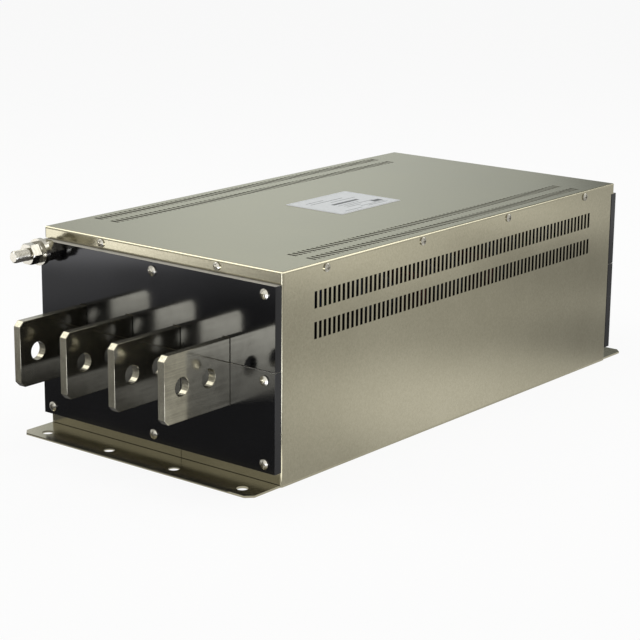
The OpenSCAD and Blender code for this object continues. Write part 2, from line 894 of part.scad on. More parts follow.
// Angles between the base plate and the lower support plates.
module support_angles() {
    color([0.62, 0.62, 0.60]) at_supports() for (s = [-1, 1]) difference() {
        translate([s * angle_x - angle_l / 2, support_t / 2, base_t]) rotate([90, 0, 90])
            linear_extrude(angle_l) angle_section(angle_leg, angle_leg, angle_t, bend_r);
        translate([s * angle_x, 0, angle_screw_z]) rotate([90, 0, 0])
            cylinder(d = support_screw_d + thread_gap, h = 4 * support_t, center = true);
    }
}

// Straps that join the upper plates to the lower ones.
module support_straps() {
    color([0.62, 0.62, 0.60]) at_supports() for (s = [-1, 1]) difference() {
        translate([s * angle_x - strap_w / 2, support_t / 2, panel_seam_z - strap_l / 2])
            cube([strap_w, strap_t, strap_l]);
        support_screw_axes()
            cylinder(d = support_screw_d + thread_gap, h = 4 * support_t, center = true);
    }
}

module support_screws() {
    color("silver") at_supports() translate([0, -support_t / 2, 0]) support_screw_axes()
        pan_screw(support_screw_d, panel_head_d, panel_head_h, support_screw_l);
}

// ---- capacitor boards ---------------------------------------------------

// Places of the spacers under one board.
module spacer_places() {
    for (x = bar_x, y = spacer_y) translate([x, -y, 0]) children();
}

// Middles of the six line capacitors.
module x_cap_places() {
    for (col = [-1:1], row = [-0.5, 0.5])
        translate([col * bar_pitch, -board_mid_y + row * x_cap_row, board_top]) children();
}

// Middles of the four earth capacitors.
module y_cap_places() {
    for (s = [-1, 1], row = [-0.5, 0.5])
        translate([s * y_cap_x, -board_mid_y + row * x_cap_row, board_top]) children();
}

// Middles of the three bleed resistors.
module resistor_places() {
    for (col = [-1:1]) translate([col * bar_pitch, -resistor_y, board_top]) children();
}

// Places of the two leads of a part, relative to its middle.
module lead_pair(spacing) {
    for (s = [-1, 1]) translate([s * spacing / 2, 0, 0]) children();
}

module lead_hole() {
    translate([0, 0, -board_t - eps]) cylinder(d = lead_d + 0.4, h = board_t + 2 * eps);
}

module board_line() {
    color([0.16, 0.36, 0.20]) difference() {
        translate([-board_x, -board_y1, board_z]) cube([2 * board_x, board_depth, board_t]);
        translate([0, 0, board_z - eps]) spacer_places()
            cylinder(d = board_screw_d + hole_gap, h = board_t + 2 * eps);
        translate([bond_screw_x, -bond_screw_y, board_z - eps])
            cylinder(d = board_screw_d + hole_gap, h = board_t + 2 * eps);
        x_cap_places() lead_pair(x_cap_l - 6) lead_hole();
        y_cap_places() lead_pair(y_cap_l - 4) lead_hole();
        resistor_places() lead_pair(resistor_l + 8) lead_hole();
    }
}

module board_load() {
    at_rear() board_line();
}

// Hexagon spacers: a root in the bar, a tapped hole under the board.
module board_spacers() {
    color([0.80, 0.68, 0.35]) both_ends() translate([0, 0, bar_z1]) spacer_places() difference() {
        union() {
            cylinder(d = spacer_af / cos(30), h = spacer_h, $fn = 6);
            translate([0, 0, -spacer_root + 0.5]) cylinder(d = board_screw_d + 1, h = spacer_root);
        }
        translate([0, 0, spacer_h - board_screw_l])
            cylinder(d = board_screw_d + thread_gap, h = board_screw_l + eps);
    }
}

module board_screws() {
    color("silver") both_ends() translate([0, 0, board_top]) spacer_places()
        pan_screw(board_screw_d, board_head_d, board_head_h, board_t + board_screw_l - 1);
}

// Boxed film capacitor with two leads through the board.
module box_capacitor(l, w, h, spacing) {
    translate([0, 0, h / 2]) linear_extrude(h, center = true) rounded_rect(l, w, 1);
    lead_pair(spacing) translate([0, 0, -board_t - 2]) cylinder(d = lead_d, h = board_t + 2 + eps);
}

module x_capacitors_line() {
    color([0.85, 0.70, 0.20]) x_cap_places() box_capacitor(x_cap_l, x_cap_w, x_cap_h, x_cap_l - 6);
}

module x_capacitors_load() {
    at_rear() x_capacitors_line();
}

module y_capacitors_line() {
    color([0.20, 0.40, 0.65]) y_cap_places() box_capacitor(y_cap_l, y_cap_w, y_cap_h, y_cap_l - 4);
}

module y_capacitors_load() {
    at_rear() y_capacitors_line();
}

// Resistor lying above the board on its two bent leads.
module resistor() {
    reach = (resistor_l + 8) / 2;
    translate([0, 0, resistor_rise]) {
        rotate([0, 90, 0]) cylinder(d = resistor_d, h = resistor_l, center = true);
        rotate([0, 90, 0]) cylinder(d = lead_d, h = 2 * reach, center = true);
        for (s = [-1, 1]) translate([s * reach, 0, 0]) {
            sphere(d = lead_d);
            translate([0, 0, -resistor_rise - board_t - 2])
                cylinder(d = lead_d, h = resistor_rise + board_t + 2);
        }
    }
}

module bleed_resistors() {
    color([0.75, 0.70, 0.58]) both_ends() resistor_places() resistor();
}

// ---- label --------------------------------------------------------------

module label() {
    color([0.78, 0.79, 0.76]) translate([label_x, 0, cover_h]) linear_extrude(label_t)
        rounded_rect(label_w, label_l, 2);
}

// ---- model --------------------------------------------------------------

base_plate();
wrap_right();
wrap_left();
seam_strips();
lid();
lid_screws();
lid_nuts();
front_panel_lower();
front_panel_upper();
rear_panel_lower();
rear_panel_upper();
panel_screws_front();
panel_screws_rear();
panel_nuts();
busbar_l1();
busbar_l2();
busbar_l3();
busbar_n();
earth_stud_front();
earth_stud_rear();
stud_nuts();
stud_inner_washers();
stud_outer_washers();
stud_spring_washers();
earth_strap_front();
earth_strap_rear();
bond_screws();
bond_nuts();
core_1();
core_2();
core_3();
core_bearers();
core_clamps();
bar_support_lower_1();
bar_support_lower_2();
bar_support_upper_1();
bar_support_upper_2();
support_angles();
support_straps();
support_screws();
board_line();
board_load();
board_spacers();
board_screws();
x_capacitors_line();
x_capacitors_load();
y_capacitors_line();
y_capacitors_load();
bleed_resistors();
label();
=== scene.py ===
# %% [markdown]
# # A boxed power line filter
# The object is a three-phase filter for a power line: a folded sheet steel housing on a drilled base,
# with four flat busbars standing out of a black insulating panel at each end. The shapes come from the
# CAD model, which is loaded first and never moved. Everything after that gives each surface the look
# of what it is made of, and models again the few pieces whose edges and threads the eye reads.

# %% Load the CAD model as the fixed frame
import json
from math import cos, radians

import bmesh
import bpy
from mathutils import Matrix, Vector


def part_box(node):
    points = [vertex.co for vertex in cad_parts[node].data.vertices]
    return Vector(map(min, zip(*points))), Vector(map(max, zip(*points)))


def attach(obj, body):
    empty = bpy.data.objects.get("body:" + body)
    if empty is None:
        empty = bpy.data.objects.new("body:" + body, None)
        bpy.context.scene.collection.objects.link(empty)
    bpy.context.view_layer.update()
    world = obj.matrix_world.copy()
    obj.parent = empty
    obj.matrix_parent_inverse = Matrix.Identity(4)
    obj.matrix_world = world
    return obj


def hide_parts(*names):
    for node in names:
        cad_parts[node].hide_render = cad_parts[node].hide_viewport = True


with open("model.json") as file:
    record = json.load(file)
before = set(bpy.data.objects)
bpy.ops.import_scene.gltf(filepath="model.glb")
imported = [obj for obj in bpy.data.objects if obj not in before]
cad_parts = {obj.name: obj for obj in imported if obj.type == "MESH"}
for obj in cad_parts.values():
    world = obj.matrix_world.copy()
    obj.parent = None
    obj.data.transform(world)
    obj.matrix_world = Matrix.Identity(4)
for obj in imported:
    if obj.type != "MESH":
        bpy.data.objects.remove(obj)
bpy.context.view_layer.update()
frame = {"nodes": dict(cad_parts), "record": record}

MM = 0.001  # Blender measures in metres

# %% [markdown]
# ## The camera
# A long lens from well back keeps the box's edges nearly parallel, as in a catalogue. It could be aimed
# with a Track To constraint, but a plain place and turn is the simplest thing that stays the same on
# every run. The sensor is that of a full-frame camera.

# %% Camera
CAMERA_PLACE = (1.22457, -1.57067, 0.59516)
CAMERA_TURN_DEG = (75.3757, -0.5483, 38.8387)
SENSOR_MM, LENS_MM = 36, 110.928
NEAREST, FARTHEST = 0.05, 60  # metres

camera_data = bpy.data.cameras.new("camera")
camera_data.sensor_width = SENSOR_MM
camera_data.lens = LENS_MM
camera_data.clip_start, camera_data.clip_end = NEAREST, FARTHEST
camera = bpy.data.objects.new("camera", camera_data)
camera.location = CAMERA_PLACE
camera.rotation_euler = [radians(angle) for angle in CAMERA_TURN_DEG]
bpy.context.collection.objects.link(camera)
bpy.context.scene.camera = camera
print(f"camera stands {camera.location.length:.2f} m from the base's middle")

# %% [markdown]
# ## Colours
# A colour is picked as an sRGB hex value, as in any paint program, but Blender's shaders work in linear
# light, where two equal lamps give twice the number. One function turns the first into the second.
# Linear numbers could be typed straight in, but nobody can read a colour from them.

# %% From a hex colour to linear light
def linear(hex_colour):
    """Linear RGBA of an sRGB hex colour."""
    parts = [int(hex_colour[i:i + 2], 16) / 255 for i in (1, 3, 5)]
    return [c / 12.92 if c <= 0.04045 else ((c + 0.055) / 1.055) ** 2.4 for c in parts] + [1]


# Standard shows each colour as it was picked, with no film curve over it.
bpy.context.scene.view_settings.view_transform = "Standard"
print("linear middle grey", [round(c, 3) for c in linear("#808080")])

# %% [markdown]
# ## Nodes
# Every material is a small tree of nodes. One function adds any node with its settings, and fills or
# links its sockets, so a line of code reads like a node in the editor. A pattern's size is given in
# millimetres: a texture's scale is how many of its features go into a metre of the piece itself.

# %% Nodes and scales
# A Mix node has sockets for every type of value. These are the places of its colour sockets.
COLOUR_A, COLOUR_B, COLOUR_OUT = 6, 7, 2


def add_node(tree, kind, values=None, **settings):
    """A new node. values fills or links its sockets, by name or place. settings are its properties."""
    node = tree.nodes.new(kind)
    for name, value in settings.items():
        setattr(node, name, value)
    for socket, value in (values or {}).items():
        if isinstance(value, bpy.types.NodeSocket):
            tree.links.new(value, node.inputs[socket])
        else:
            node.inputs[socket].default_value = value
    return node


def new_material(name):
    """A new material: its tree, its Principled shader, and the piece's own coordinates in metres."""
    material = bpy.data.materials.new(name)
    material.use_nodes = True
    tree = material.node_tree
    place = add_node(tree, "ShaderNodeTexCoord").outputs["Object"]
    return material, tree, tree.nodes["Principled BSDF"], place


def per_metre(size_mm):
    """The texture scale that draws features of this size."""
    return 1 / (size_mm * MM)


print(f"a pattern of 2 mm has the scale {per_metre(2):.0f}")

# %% [markdown]
# ## Light from all round
# The walls of a white studio throw back an even light. The world is dim for the rays that only carry
# light to the object, and white for the rays that show or mirror it. One brightness for both would
# either wash out the shading or leave the background grey.

# %% World
AMBIENT = 0.36
WHITE = linear("#FFFFFF")


def sees_background(tree):
    """1 for rays from the camera, a mirror or glass, 0 for the rays that only carry light."""
    path = add_node(tree, "ShaderNodeLightPath").outputs
    seen = add_node(tree, "ShaderNodeMath", {0: path["Is Camera Ray"], 1: path["Is Glossy Ray"]},
                    operation="MAXIMUM")
    return add_node(tree, "ShaderNodeMath", {0: seen.outputs[0], 1: path["Is Transmission Ray"]},
                    operation="MAXIMUM").outputs[0]


world = bpy.data.worlds.new("studio")
bpy.context.scene.world = world
world.use_nodes = True
tree = world.node_tree
tree.nodes.clear()
dim = add_node(tree, "ShaderNodeBackground", {"Color": WHITE, "Strength": AMBIENT})
bright = add_node(tree, "ShaderNodeBackground", {"Color": WHITE, "Strength": 1})
mixed = add_node(tree, "ShaderNodeMixShader",
                 {0: sees_background(tree), 1: dim.outputs[0], 2: bright.outputs[0]})
add_node(tree, "ShaderNodeOutputWorld", {"Surface": mixed.outputs[0]})
print("ambient light", AMBIENT)

# %% [markdown]
# ## Floor
# The object stands on a pale floor. For the rays that show or mirror it, the floor is mostly a white
# light of its own, so it stays white far away, and for the rest plain matt paint, which takes the soft
# shadow under the box. A curved paper sweep would do the same, but a flat floor keeps every side of
# the object free to look at.

# %% Floor
FLOOR_SIZE = 30
FLOOR_GLOW_SHARE = 0.91


def drop_selection():
    """Object mode, with nothing selected."""
    if bpy.context.object and bpy.context.object.mode != "OBJECT":
        bpy.ops.object.mode_set(mode="OBJECT")
    bpy.ops.object.select_all(action="DESELECT")


drop_selection()
bpy.ops.mesh.primitive_plane_add(size=FLOOR_SIZE, location=(0, 0, 0))
floor = bpy.context.object
floor.name = "studio_floor"
paint = bpy.data.materials.new("matt_white_floor_paint")
paint.use_nodes = True
tree = paint.node_tree
tree.nodes.clear()
matt = add_node(tree, "ShaderNodeBsdfDiffuse", {"Color": linear("#F6F6F4")})
glow = add_node(tree, "ShaderNodeEmission", {"Color": WHITE, "Strength": 1})
share = add_node(tree, "ShaderNodeMath", {0: sees_background(tree), 1: FLOOR_GLOW_SHARE},
                 operation="MULTIPLY")
mixed = add_node(tree, "ShaderNodeMixShader", {0: share.outputs[0], 1: matt.outputs[0], 2: glow.outputs[0]})
add_node(tree, "ShaderNodeOutputMaterial", {"Surface": mixed.outputs[0]})
floor.data.materials.append(paint)
print("floor", FLOOR_SIZE, "m wide")

# %% [markdown]
# ## Softboxes
# Three softboxes give the even light: overhead, high in front on the left, and high behind on the right.
# The last two stand where the lid's rounded folds mirror them towards the camera, which draws the thin
# bright lines along the folds. Small lamps would light as well, but their shadows would be hard.

# %% Softboxes
SOFTBOXES = {  # name: place, what it points at, width, height, watts
    "overhead_softbox": ((0, 0, 2.1), (0, 0, 0), 1.6, 1.6, 11.5),
    "left_softbox": ((-1.2, -0.7, 1.5), (0, -0.2, 0.15), 1.0, 0.9, 10),
    "rear_softbox": ((0.6, 1.6, 1.45), (0.1, 0, 0.2), 1.5, 0.8, 10),
}
for name, (place, target, width, height, watts) in SOFTBOXES.items():
    lamp = bpy.data.lights.new(name, "AREA")
    lamp.shape = "RECTANGLE"
    lamp.size, lamp.size_y = width, height
    lamp.energy = watts
    holder = bpy.data.objects.new(name, lamp)
    holder.location = place
    holder.rotation_euler = (Vector(target) - Vector(place)).to_track_quat("-Z", "Y").to_euler()
    holder.visible_camera = False
    bpy.context.collection.objects.link(holder)
    print(name, watts, "W")

# %% [markdown]
# ## Cards for the metal
# Bright metal shows little but what it mirrors, so a studio lays cards round it. These seven are seen by
# mirrors only: they give the sheet, the bars and the folds their light and dark zones, and add no light
# to the object. Each has one plain brightness, with round spots of more or less that fade out smoothly.
# Many small cards side by side could do the same, but their borders would show in the metal.

# %% The cards' places
FLAT, UPRIGHT = 0, radians(90)
CARDS = {  # name: middle, width, depth, stand, colour, brightness, spots (place, inner, outer, gain)
    "card_front_right": ((0.315, -0.80, 0.001), 0.39, 0.80, FLAT, "#EDF1FF", 9.0, [
        ((0.44, -0.86, 0), 0.18, 0.37, 25.0)]),
    "card_at_corner": ((0.20, -0.3225, 0.0015), 0.08, 0.075, FLAT, "#FFFFFF", 1.0, []),
    "card_far_left": ((-1.05, -1.55, 0.35), 1.10, 0.60, UPRIGHT, "#FFFFFF", 0.70, []),
    "card_in_front": ((0.35, -1.50, 0.62), 1.40, 1.20, UPRIGHT, "#FFFFFF", 1.6, []),
    "card_front_left": ((-0.555, -0.7825, 0.001), 1.35, 0.995, FLAT, "#FBFBFF", 0.19, [
        ((-0.85, -1.15, 0), 0.30, 0.46, 3.0), ((-0.62, -0.70, 0), 0.05, 0.34, 0.75),
        ((-0.35, -1.00, 0), 0.05, 0.22, 0.5), ((-0.80, -0.33, 0), 0.10, 0.44, 0.8)]),
    "card_right": ((0.615, 0.40, 0.001), 0.93, 1.60, FLAT, "#FFFFFF", 0.76, [
        ((0.19, 0.03, 0), 0.03, 0.28, 0.43), ((0.19, 0.38, 0), 0.03, 0.18, -0.28),
        ((0.33, 0.70, 0), 0.05, 0.35, -0.25), ((0.74, 0.50, 0), 0.02, 0.30, 0.85),
        ((0.74, 0.90, 0), 0.02, 0.30, 0.70)]),
    "card_behind": ((-0.90, 1.60, 0.80), 2.60, 1.40, UPRIGHT, "#FAFFF7", 0.37, [
        ((-1.50, 1.60, 0.80), 0.10, 1.30, 0.47), ((-0.60, 1.60, 0.40), 0.02, 0.22, -0.30)]),
}
print(len(CARDS), "cards,", sum(len(card[-1]) for card in CARDS.values()), "spots")

# %% [markdown]
# ## How bright a card is
# The card in front on the right lights the bars' sides by way of the black panel's gloss. A gloss gives
# back only a few parts in a hundred, so the card has to be very bright, and seen in one mirror alone it
# would glare. Two cards are therefore given another brightness in a first mirror. A glossier panel would
# need no such card, but then it would mirror everything else too strongly as well.

# %% A card's brightness from place to place
SEEN_ONCE = {"card_front_right": 6.0, "card_at_corner": 3.0}  # brightness in a first mirror


def card_brightness(tree, name, plain, spots):
    """The socket that gives a card's brightness at every place on it."""
    place = add_node(tree, "ShaderNodeNewGeometry").outputs["Position"]
    total = add_node(tree, "ShaderNodeValue").outputs[0]
    total.default_value = plain
    for spot, inner, outer, gain in spots:
        away = add_node(tree, "ShaderNodeVectorMath", {0: place, 1: spot}, operation="DISTANCE")
        fade = add_node(tree, "ShaderNodeMapRange",
                        {"Value": away.outputs["Value"], "From Min": inner, "From Max": outer,
                         "To Min": gain, "To Max": 0}, interpolation_type="SMOOTHSTEP")
        total = add_node(tree, "ShaderNodeMath", {0: total, 1: fade.outputs[0]}, operation="ADD").outputs[0]
    if name in SEEN_ONCE:
        mirrors_met = add_node(tree, "ShaderNodeLightPath").outputs["Ray Depth"]
        total = add_node(tree, "ShaderNodeMapRange",
                         {"Value": mirrors_met, "From Min": 1, "From Max": 2,
                          "To Min": SEEN_ONCE[name], "To Max": total}).outputs[0]
    return total


print(len(SEEN_ONCE), "cards change with the number of mirrors")

# %% [markdown]
# ## Laying the cards
# Each card is a plane of its own width and depth that glows by its own brightness. It is hidden from the
# camera and from every ray but those that leave a glossy surface, so it neither lights nor shades the
# object as real cardboard would. A lamp can be shown to mirrors alone too, but it can't have spots.

# %% Lay the cards
for name, (middle, width, depth, stand, colour, brightness, spots) in CARDS.items():
    drop_selection()
    bpy.ops.mesh.primitive_plane_add(size=1, location=middle, rotation=(stand, 0, 0))
    card = bpy.context.object
    card.scale = (width, depth, 1)
    card.name = name
    card.visible_camera = card.visible_diffuse = card.visible_shadow = False
    card.visible_transmission = card.visible_volume_scatter = False
    face = bpy.data.materials.new(name)
    face.use_nodes = True
    tree = face.node_tree
    tree.nodes.clear()
    strength = card_brightness(tree, name, brightness, spots)
    shine = add_node(tree, "ShaderNodeEmission", {"Color": linear(colour), "Strength": strength})
    add_node(tree, "ShaderNodeOutputMaterial", {"Surface": shine.outputs[0]})
    card.data.materials.append(face)
    print(name, width, "x", depth, "m")

# %% [markdown]
# ## Satin sheet steel
# The housing is folded from cold-rolled steel sheet with a matt nickel plating. To the eye it is a soft,
# warm grey mirror, which shows light and dark zones but no shapes. Rolling and plating leave a fine even
# speckle, and faint clouds where the plating is a little thicker. A brushed look would need long streaks,
# which this sheet doesn't have, so two noises are enough.

# %% Material: satin nickel-plated steel sheet
SPECKLE_MM = 2.2  # the real grain is a tenth of this and wouldn't show, so it is drawn coarser
SPECKLE_DEPTH = 0.05 * MM
PLATING_CLOUD_MM = 110  # about a hand's width
SHEET_ROUGHNESS, SHEET_SWING = 0.17, 0.03
NOISE_LOW, NOISE_HIGH = 0.3, 0.7  # a noise's value seldom leaves this range

sheet, tree, shader, place = new_material("satin_nickel_plated_steel_sheet")
speckle = add_node(tree, "ShaderNodeTexNoise",
                   {"Vector": place, "Scale": per_metre(SPECKLE_MM), "Detail": 3, "Roughness": 0.6})
cloud = add_node(tree, "ShaderNodeTexNoise",
                 {"Vector": place, "Scale": per_metre(PLATING_CLOUD_MM), "Detail": 2})
both = add_node(tree, "ShaderNodeMath", {0: speckle.outputs[0], 1: cloud.outputs[0]}, operation="ADD")
mean = add_node(tree, "ShaderNodeMath", {0: both.outputs[0], 1: 0.5}, operation="MULTIPLY")
plating = add_node(tree, "ShaderNodeValToRGB", {0: mean.outputs[0]})
for stop, place_on_ramp, colour in zip(plating.color_ramp.elements, (0.35, 0.65), ("#938E79", "#A19C87")):
    stop.position, stop.color = place_on_ramp, linear(colour)
satin = add_node(tree, "ShaderNodeMapRange",
                 {0: cloud.outputs[0], "From Min": NOISE_LOW, "From Max": NOISE_HIGH,
                  "To Min": SHEET_ROUGHNESS - SHEET_SWING, "To Max": SHEET_ROUGHNESS + SHEET_SWING})
bump = add_node(tree, "ShaderNodeBump",
                {"Height": speckle.outputs[0], "Strength": 0.25, "Distance": SPECKLE_DEPTH})
tree.links.new(bump.outputs[0], shader.inputs["Normal"])
shader.inputs["Metallic"].default_value = 1
print("made", sheet.name)

# %% [markdown]
# ## Walls of the punched slots
# The slots are punched through the sheet, and the punch leaves bare sheared steel on their long walls,
# which is rougher. Their colour is painted shade and light: in the side rows the walls get a near black
# painted shade for the dark inside they face, which gives the crisp dark comb, and in the lid a pale
# painted light for the light from above. The walls could be given a material of their own, but a face's
# direction and place already tell it apart: it faces along the housing, and it isn't at the housing's end.

# %% Painted shade and painted light on the slots' long walls
FACES_ALONG = 0.7  # the least share of a face's direction that lies along the housing
SLOTS_REACH = 0.24  # how far the slots go from the middle of the housing
LID_SHEET_Z = 0.195  # the lid's slots lie above this height
SHEAR_ROUGHNESS = 0.5

direction = add_node(tree, "ShaderNodeTexCoord").outputs["Normal"]
facing = add_node(tree, "ShaderNodeSeparateXYZ", {0: direction}).outputs
where = add_node(tree, "ShaderNodeSeparateXYZ", {0: place}).outputs
along = add_node(tree, "ShaderNodeMath", {0: facing["Y"]}, operation="ABSOLUTE")
along = add_node(tree, "ShaderNodeMath", {0: along.outputs[0], 1: FACES_ALONG}, operation="GREATER_THAN")
from_middle = add_node(tree, "ShaderNodeMath", {0: where["Y"]}, operation="ABSOLUTE")
within = add_node(tree, "ShaderNodeMath", {0: from_middle.outputs[0], 1: SLOTS_REACH},
                  operation="LESS_THAN")
sheared = add_node(tree, "ShaderNodeMath", {0: along.outputs[0], 1: within.outputs[0]}, operation="MULTIPLY")
in_lid = add_node(tree, "ShaderNodeMath", {0: where["Z"], 1: LID_SHEET_Z}, operation="GREATER_THAN")
# The side rows' slot walls get a near black painted shade, and the lid's get a pale painted light.
slot_wall_shade_and_light = add_node(tree, "ShaderNodeMix", {0: in_lid.outputs[0], COLOUR_A: linear("#2E2B27"),
                                         COLOUR_B: linear("#9E9B8E")}, data_type="RGBA")
base = add_node(tree, "ShaderNodeMix", {0: sheared.outputs[0], COLOUR_A: plating.outputs[0],
                                        COLOUR_B: slot_wall_shade_and_light.outputs[COLOUR_OUT]}, data_type="RGBA")
rough = add_node(tree, "ShaderNodeMath", {0: satin.outputs[0], 1: sheared.outputs[0]}, operation="MAXIMUM")
rough = add_node(tree, "ShaderNodeMath", {0: rough.outputs[0], 1: SHEAR_ROUGHNESS}, operation="MINIMUM")
tree.links.new(base.outputs[COLOUR_OUT], shader.inputs["Base Color"])
tree.links.new(rough.outputs[0], shader.inputs["Roughness"])
print("slot walls within", SLOTS_REACH / MM, "mm of the middle")

# %% [markdown]
# ## One recipe for small parts
# Most small parts need no more than a main colour and a roughness that waver a little with one grain, so
# that no surface looks like a flat fill. They share one recipe, as a workshop has one bath for many
# screws. A tree drawn by hand for each would look no different.

# %% A finish that wavers with its grain
def grained(name, dark, light, roughness, grain_mm, ramp_ends, swing, uniform):
    """A finish between two colours. swing is how far its roughness wavers, uniform its single values."""
    material, tree, shader, place = new_material(name)
    grain = add_node(tree, "ShaderNodeTexNoise",
                     {"Vector": place, "Scale": per_metre(grain_mm), "Detail": 4})
    ramp = add_node(tree, "ShaderNodeValToRGB", {0: grain.outputs[0]})
    for stop, place_on_ramp, colour in zip(ramp.color_ramp.elements, ramp_ends, (dark, light)):
        stop.position, stop.color = place_on_ramp, linear(colour)
    rough = add_node(tree, "ShaderNodeMapRange",
                     {0: grain.outputs[0], "From Min": NOISE_LOW, "From Max": NOISE_HIGH,
                      "To Min": roughness * (1 - swing), "To Max": roughness * (1 + swing)})
    tree.links.new(ramp.outputs[0], shader.inputs["Base Color"])
    tree.links.new(rough.outputs[0], shader.inputs["Roughness"])
    for socket, value in uniform.items():
        shader.inputs[socket].default_value = value
    return material


print("a noise is taken to run from", NOISE_LOW, "to", NOISE_HIGH)

# %% [markdown]
# ## Plated and bare metal, and a near black painted shade
# Screws, nuts, washers and studs are steel with bright nickel. Inside there are bare copper straps and
# turned brass spacers. What is deep inside gets a near black painted shade in place of its own finish:
# through the slots it should stay in the dark, and a bright nut there would glint. Each grain is drawn a
# few millimetres wide, coarser than any real one, because a real one wouldn't show.

# %% Materials: small metal parts
METAL = {"ramp_ends": (0.35, 0.65), "swing": 0.2, "uniform": {"Metallic": 1}}
# A slightly blurred, warm white mirror, so each screw head shows one bright spot and a dark foot.
bright_nickel = grained("bright_nickel_plating", "#A29E92", "#B4B1A6", 0.22, 3, **METAL)
# Straight from the rolls: a dull pink-brown mirror with long soft lights.
bare_copper = grained("bare_rolled_copper", "#B87B55", "#C98B62", 0.28, 8, **METAL)
# Turned clean and left so: yellow, with a tight bright light down each spacer.
turned_brass = grained("turned_brass", "#C2A45A", "#D2B468", 0.22, 4, **METAL)
# A near black painted shade for what is deep inside, with only a faint sheen at the edges.
painted_shade_black = grained("painted_shade_black_steel", "#1C1B1A", "#292826", 0.4, 3, **METAL)
print("made", ", ".join(metal.name for metal in (bright_nickel, bare_copper, turned_brass, painted_shade_black)))

# %% [markdown]
# ## Hot-tinned copper bar
# The bars are dipped in molten tin, which flows to a bright skin that still shows the bar's rolling lines
# and dries in duller clouds. To the eye it is a sharp mirror with a little milk in it. Two shaders are
# mixed for that: first the sharp one, made here, then a dull haze. One rougher shader alone would blur
# the image of the panel, which the bright skin keeps.

# %% Material: hot-tinned copper bar, its bright skin
ROLLING_LINE_MM = 1.6  # real lines are a few tenths wide; drawn coarser, they still show
ALONG_THE_BAR = 0.03  # the pattern's scale along the bar, which draws each line out
TIN_CLOUD_MM = 14  # where the tin cooled a little slower, about a thumb's width
SKIN_ROUGHNESS = (0.07, 0.13)

tinned_copper, tree, shader, place = new_material("hot_tinned_copper_bar")
drawn = add_node(tree, "ShaderNodeMapping", {"Vector": place, "Scale": (1, ALONG_THE_BAR, 1)})
lines = add_node(tree, "ShaderNodeTexNoise",
                 {"Vector": drawn.outputs[0], "Scale": per_metre(ROLLING_LINE_MM), "Detail": 3})
clouds = add_node(tree, "ShaderNodeTexNoise",
                  {"Vector": place, "Scale": per_metre(TIN_CLOUD_MM), "Detail": 5, "Roughness": 0.7})
both = add_node(tree, "ShaderNodeMath", {0: lines.outputs[0], 1: clouds.outputs[0]}, operation="ADD")
mean = add_node(tree, "ShaderNodeMath", {0: both.outputs[0], 1: 0.5}, operation="MULTIPLY")
tin = add_node(tree, "ShaderNodeValToRGB", {0: mean.outputs[0]})
for stop, place_on_ramp, colour in zip(tin.color_ramp.elements, (0.38, 0.62), ("#7E7A6B", "#979382")):
    stop.position, stop.color = place_on_ramp, linear(colour)
rough = add_node(tree, "ShaderNodeMapRange",
                 {0: clouds.outputs[0], "From Min": NOISE_LOW, "From Max": NOISE_HIGH,
                  "To Min": SKIN_ROUGHNESS[0], "To Max": SKIN_ROUGHNESS[1]})
tree.links.new(tin.outputs[0], shader.inputs["Base Color"])
tree.links.new(rough.outputs[0], shader.inputs["Roughness"])
shader.inputs["Metallic"].default_value = 1
print("made", tinned_copper.name)

# %% [markdown]
# ## Haze and saw marks
# The haze is the same tin, duller and slightly pitted. A little of it lies over the whole bar. On the
# sawn ends the tin lies on saw marks, so there it takes over, and the ends look paler and flatter than
# the sides. Which face is an end is told by its direction, as the bars all lie one way.

# %% The tin's dull haze
TIN_HAZE, SAWN_HAZE, HAZE_ROUGHNESS = 0.18, 0.75, 0.5
SAWN_FACING = 0.9  # the least share of a face's direction that lies along the bar
SAW_GRIT_MM, SAW_GRIT_DEPTH = 0.9, 0.1 * MM  # twice as wide as real saw marks, so that it shows

grit = add_node(tree, "ShaderNodeTexNoise", {"Vector": place, "Scale": per_metre(SAW_GRIT_MM), "Detail": 2})
saw_marks = add_node(tree, "ShaderNodeBump",
                     {"Height": grit.outputs[0], "Strength": 0.5, "Distance": SAW_GRIT_DEPTH})
dull = add_node(tree, "ShaderNodeBsdfPrincipled",
                {"Base Color": tin.outputs[0], "Metallic": 1, "Roughness": HAZE_ROUGHNESS,
                 "Normal": saw_marks.outputs[0]})
direction = add_node(tree, "ShaderNodeTexCoord").outputs["Normal"]
facing = add_node(tree, "ShaderNodeSeparateXYZ", {0: direction}).outputs
along = add_node(tree, "ShaderNodeMath", {0: facing["Y"]}, operation="ABSOLUTE")
sawn = add_node(tree, "ShaderNodeMath", {0: along.outputs[0], 1: SAWN_FACING}, operation="GREATER_THAN")
haze = add_node(tree, "ShaderNodeMapRange", {0: sawn.outputs[0], "To Min": TIN_HAZE, "To Max": SAWN_HAZE})
skin = add_node(tree, "ShaderNodeMixShader", {0: haze.outputs[0], 1: shader.outputs[0], 2: dull.outputs[0]})
tree.links.new(skin.outputs[0], tree.nodes["Material Output"].inputs["Surface"])
print("haze", TIN_HAZE, "on the sides,", SAWN_HAZE, "on the ends")

# %% [markdown]
# ## Plastics and boards inside
# The parts inside show only dimly through the slots. Each has its real colour, moulded, dipped or
# pressed, and none of them polished, but the red board's red is darkened by a painted shade for the deep
# shadow it sits in. The same recipe serves, without the metal. Each grain is the width of the part's own
# mottling, from 1 mm on cement to 6 mm on lacquer. Finer detail, such as print on a capacitor, would never be
# seen.

# %% Materials: plastics and boards
PLASTIC = {"ramp_ends": (0.3, 0.7), "swing": 0.15, "uniform": {}}
# Cast round the ring cores: deep navy with a soft shine, nearly lost in the shadow.
core_case = grained("cast_blue_polyamide", "#10202E", "#182C3C", 0.45, 1.5, **PLASTIC)
# Paper pressed with resin: light brown and flat, like varnished card.
bearer_board = grained("resin_bonded_paper_board", "#A8935C", "#BDA76C", 0.5, 3, **PLASTIC)
